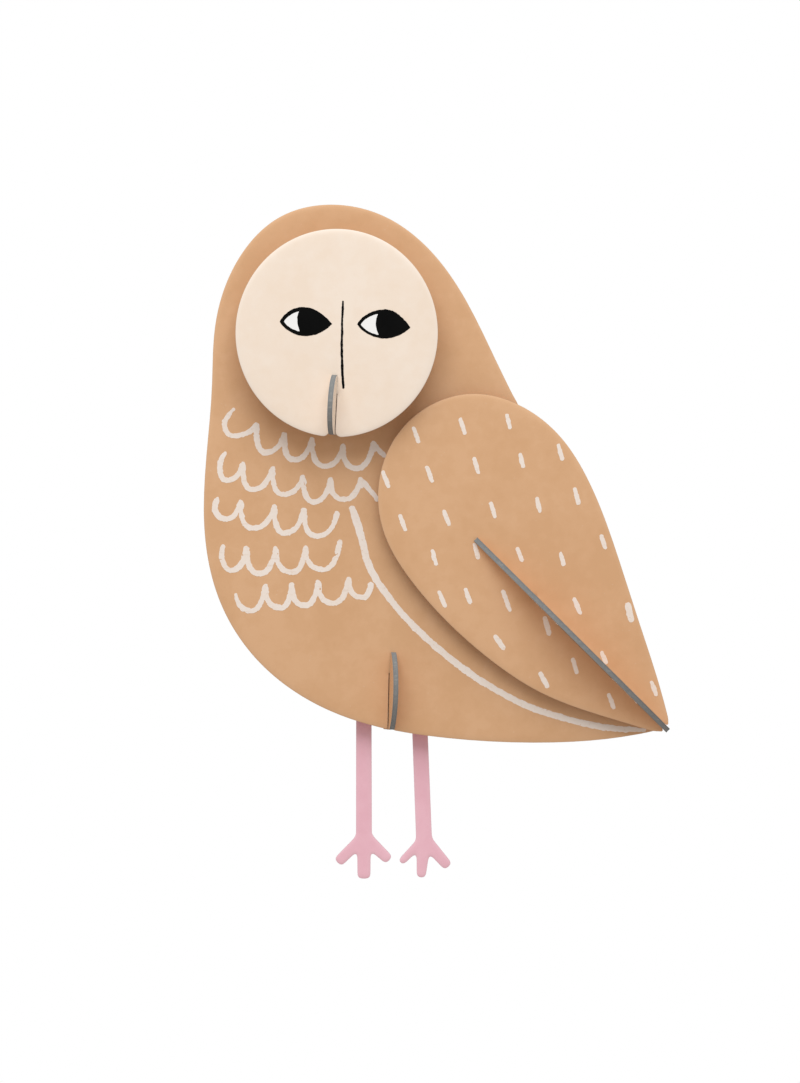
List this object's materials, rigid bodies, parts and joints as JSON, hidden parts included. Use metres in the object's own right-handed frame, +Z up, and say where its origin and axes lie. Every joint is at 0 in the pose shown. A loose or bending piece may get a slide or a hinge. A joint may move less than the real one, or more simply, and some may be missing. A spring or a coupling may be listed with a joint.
{
  "type": "slot-together paperboard owl",
  "caption": "Wall owl made of die-cut paperboard panels and fins that slot together, hung from a hole in its body board.",
  "frame": {"origin": "centre of the hang hole at the back face of the body board", "axes": "+Z up, +X towards the tail, +Y out of the hang hole towards the wall; the owl looks along -Y"},
  "size_m": [0.1588, 0.0352, 0.2299],
  "materials": {
    "grey_board": "solid grey paperboard, raw die-cut edge",
    "tan_print": "matt uncoated paper, printed tan on both faces of the board",
    "cream_print": "matt uncoated paper, printed cream",
    "pink_print": "matt uncoated paper, printed pink"
  },
  "bodies": {
    "body": {"body_core": "grey_board", "body_back_print": "tan_print", "body_front_print": "tan_print"},
    "face": {"face_core": "grey_board", "face_back_print": "cream_print", "face_front_print": "cream_print"},
    "beak": {"beak_core": "grey_board", "beak_right_print": "cream_print", "beak_left_print": "cream_print"},
    "wing": {"wing_core": "grey_board", "wing_back_print": "tan_print", "wing_front_print": "tan_print"},
    "wing_fin": {"wing_fin_core": "grey_board", "wing_fin_right_print": "tan_print", "wing_fin_left_print": "tan_print"},
    "keel": {"keel_core": "grey_board", "keel_right_print": "tan_print", "keel_left_print": "tan_print"},
    "legs": {"legs_core": "grey_board", "legs_back_print": "pink_print", "legs_front_print": "pink_print"}
  },
  "joints": [
    {"name": "beak_pull", "type": "slide", "parent": "body", "child": "beak", "axis": [-0.113, -0.9936, 0.0061], "range_m": [0, 0.014]},
    {"name": "face_lift", "type": "slide", "parent": "beak", "child": "face", "axis": [0.0541, 0, 0.9985], "range_m": [0, 0.021]},
    {"name": "wing_fin_pull", "type": "slide", "parent": "body", "child": "wing_fin", "axis": [0, -1, 0], "range_m": [0, 0.014]},
    {"name": "wing_slide", "type": "slide", "parent": "wing_fin", "child": "wing", "axis": [-0.709, 0, 0.7053], "range_m": [0, 0.019]},
    {"name": "keel_slide", "type": "slide", "parent": "body", "child": "keel", "axis": [-0.0227, 0, -0.9997], "range_m": [0, 0.0264]},
    {"name": "legs_lift", "type": "slide", "parent": "keel", "child": "legs", "axis": [0.0227, 0, 0.9997], "range_m": [0, 0.0144]}
  ]
}
